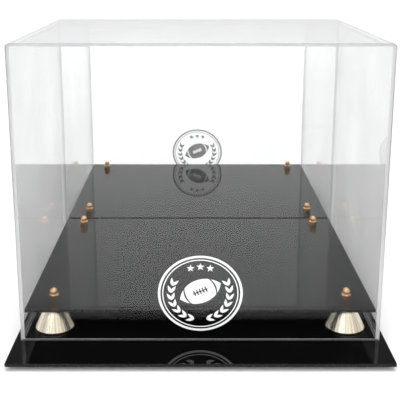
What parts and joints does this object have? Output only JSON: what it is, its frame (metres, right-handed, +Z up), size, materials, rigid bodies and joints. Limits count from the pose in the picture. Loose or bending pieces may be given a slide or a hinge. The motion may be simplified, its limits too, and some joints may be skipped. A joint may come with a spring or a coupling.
{
  "type": "football display case",
  "caption": "Table-top case for a football helmet: gloss black base, raised platform on cone risers, and a clear lift-off cover with a mirrored back.",
  "frame": {"origin": "on the surface the case stands on, below the middle of the base plate", "axes": "+X to the right of a person facing the front, +Y from the front to the mirrored back, +Z up"},
  "size_m": [0.381, 0.343, 0.3128],
  "materials": {
    "black_acrylic": "polished",
    "clear_acrylic": "polished, clear",
    "mirror_acrylic": "mirrored face, grey painted back",
    "riser_brass": "polished, pale",
    "nut_brass": "polished",
    "screw_steel": "zinc plated",
    "foot_rubber": "matt",
    "emblem_ink": "printed white ink"
  },
  "bodies": {
    "base": {"base_plate": "black_acrylic", "platform": "black_acrylic", "riser_front_left": "riser_brass", "riser_front_right": "riser_brass", "riser_back_left": "riser_brass", "riser_back_right": "riser_brass", "acorn_nut_front_left": "nut_brass", "acorn_nut_front_right": "nut_brass", "acorn_nut_back_left": "nut_brass", "acorn_nut_back_right": "nut_brass", "screw_front_left": "screw_steel", "screw_front_right": "screw_steel", "screw_back_left": "screw_steel", "screw_back_right": "screw_steel", "foot_front_left": "foot_rubber", "foot_front_right": "foot_rubber", "foot_back_left": "foot_rubber", "foot_back_right": "foot_rubber"},
    "cover": {"cover_wrap": "clear_acrylic", "cover_front": "clear_acrylic", "cover_back_mirror": "mirror_acrylic"}
  },
  "joints": [
    {"name": "cover_lift", "type": "slide", "parent": "base", "child": "cover", "axis": [0, 0, 1], "range_m": [0, 0.32]}
  ]
}
